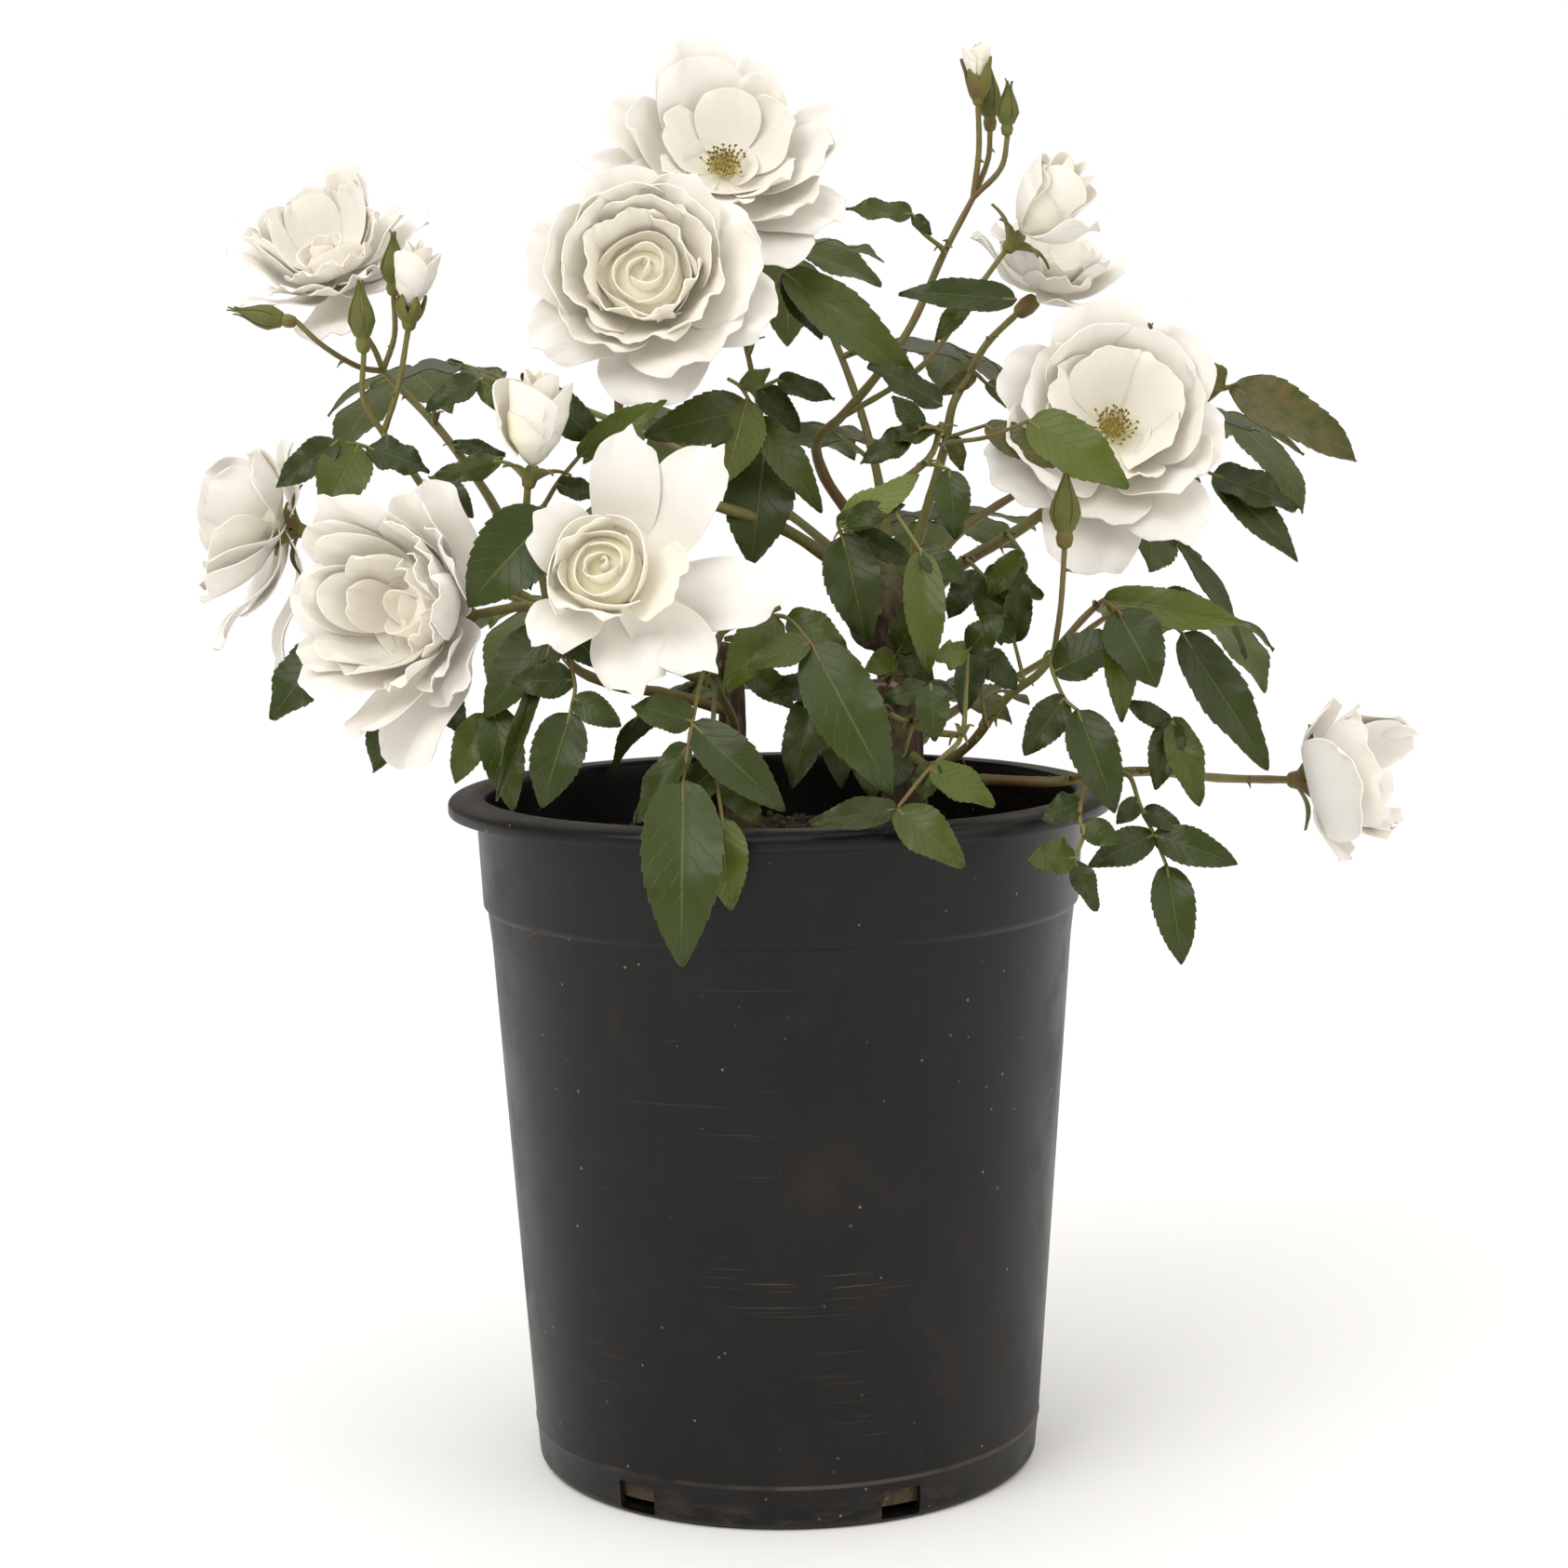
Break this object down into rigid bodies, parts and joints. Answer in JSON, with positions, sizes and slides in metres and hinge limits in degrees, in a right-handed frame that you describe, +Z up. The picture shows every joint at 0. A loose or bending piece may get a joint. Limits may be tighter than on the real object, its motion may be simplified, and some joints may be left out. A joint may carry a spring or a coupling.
{
  "type": "potted rose",
  "caption": "Potted rose shrub with white double blooms, buds and toothed compound leaves on woody trunks, standing in a black tapered nursery pot filled with soil.",
  "frame": {"origin": "middle of the underside of the pot's floor, on the surface that the pot stands on", "axes": "+Z up along the pot's axis, -Y towards the front of the plant, +X to the right seen from the front"},
  "size_m": [0.4492, 0.3053, 0.5346],
  "materials": {
    "pot_plastic": "satin",
    "soil": "rough",
    "bark": "rough",
    "foliage": "satin",
    "petals": "matte",
    "stamens": "matte"
  },
  "bodies": {
    "root": {"pot": "pot_plastic", "potting_soil": "soil", "main_trunk": "bark", "side_trunk": "bark", "stem_upper_left": "foliage", "stem_left": "foliage", "stem_low_left": "foliage", "stem_centre_left": "foliage", "stem_top": "foliage", "stem_top_right": "foliage", "stem_young_right": "foliage", "stem_right": "foliage", "stem_right_mid": "foliage", "stem_low_right": "foliage", "stem_front_left": "foliage", "stem_front_right": "foliage", "stem_front": "foliage", "stem_back_left": "foliage", "stem_back_middle": "foliage", "stem_back_right": "foliage", "stem_back_low_left": "foliage", "stem_back_low_right": "foliage", "bloom_crown": "petals", "bloom_crown_stamens": "stamens", "bloom_top": "petals", "bloom_middle": "petals", "bloom_low_left": "petals", "bloom_left": "petals", "bloom_left_top": "petals", "bloom_right": "petals", "bloom_right_stamens": "stamens", "bloom_right_back": "petals", "bloom_half_open": "petals", "bloom_low_right": "petals", "opening_bud_centre": "petals", "opening_bud_left": "petals", "opening_bud_top": "petals"}
  },
  "joints": []
}
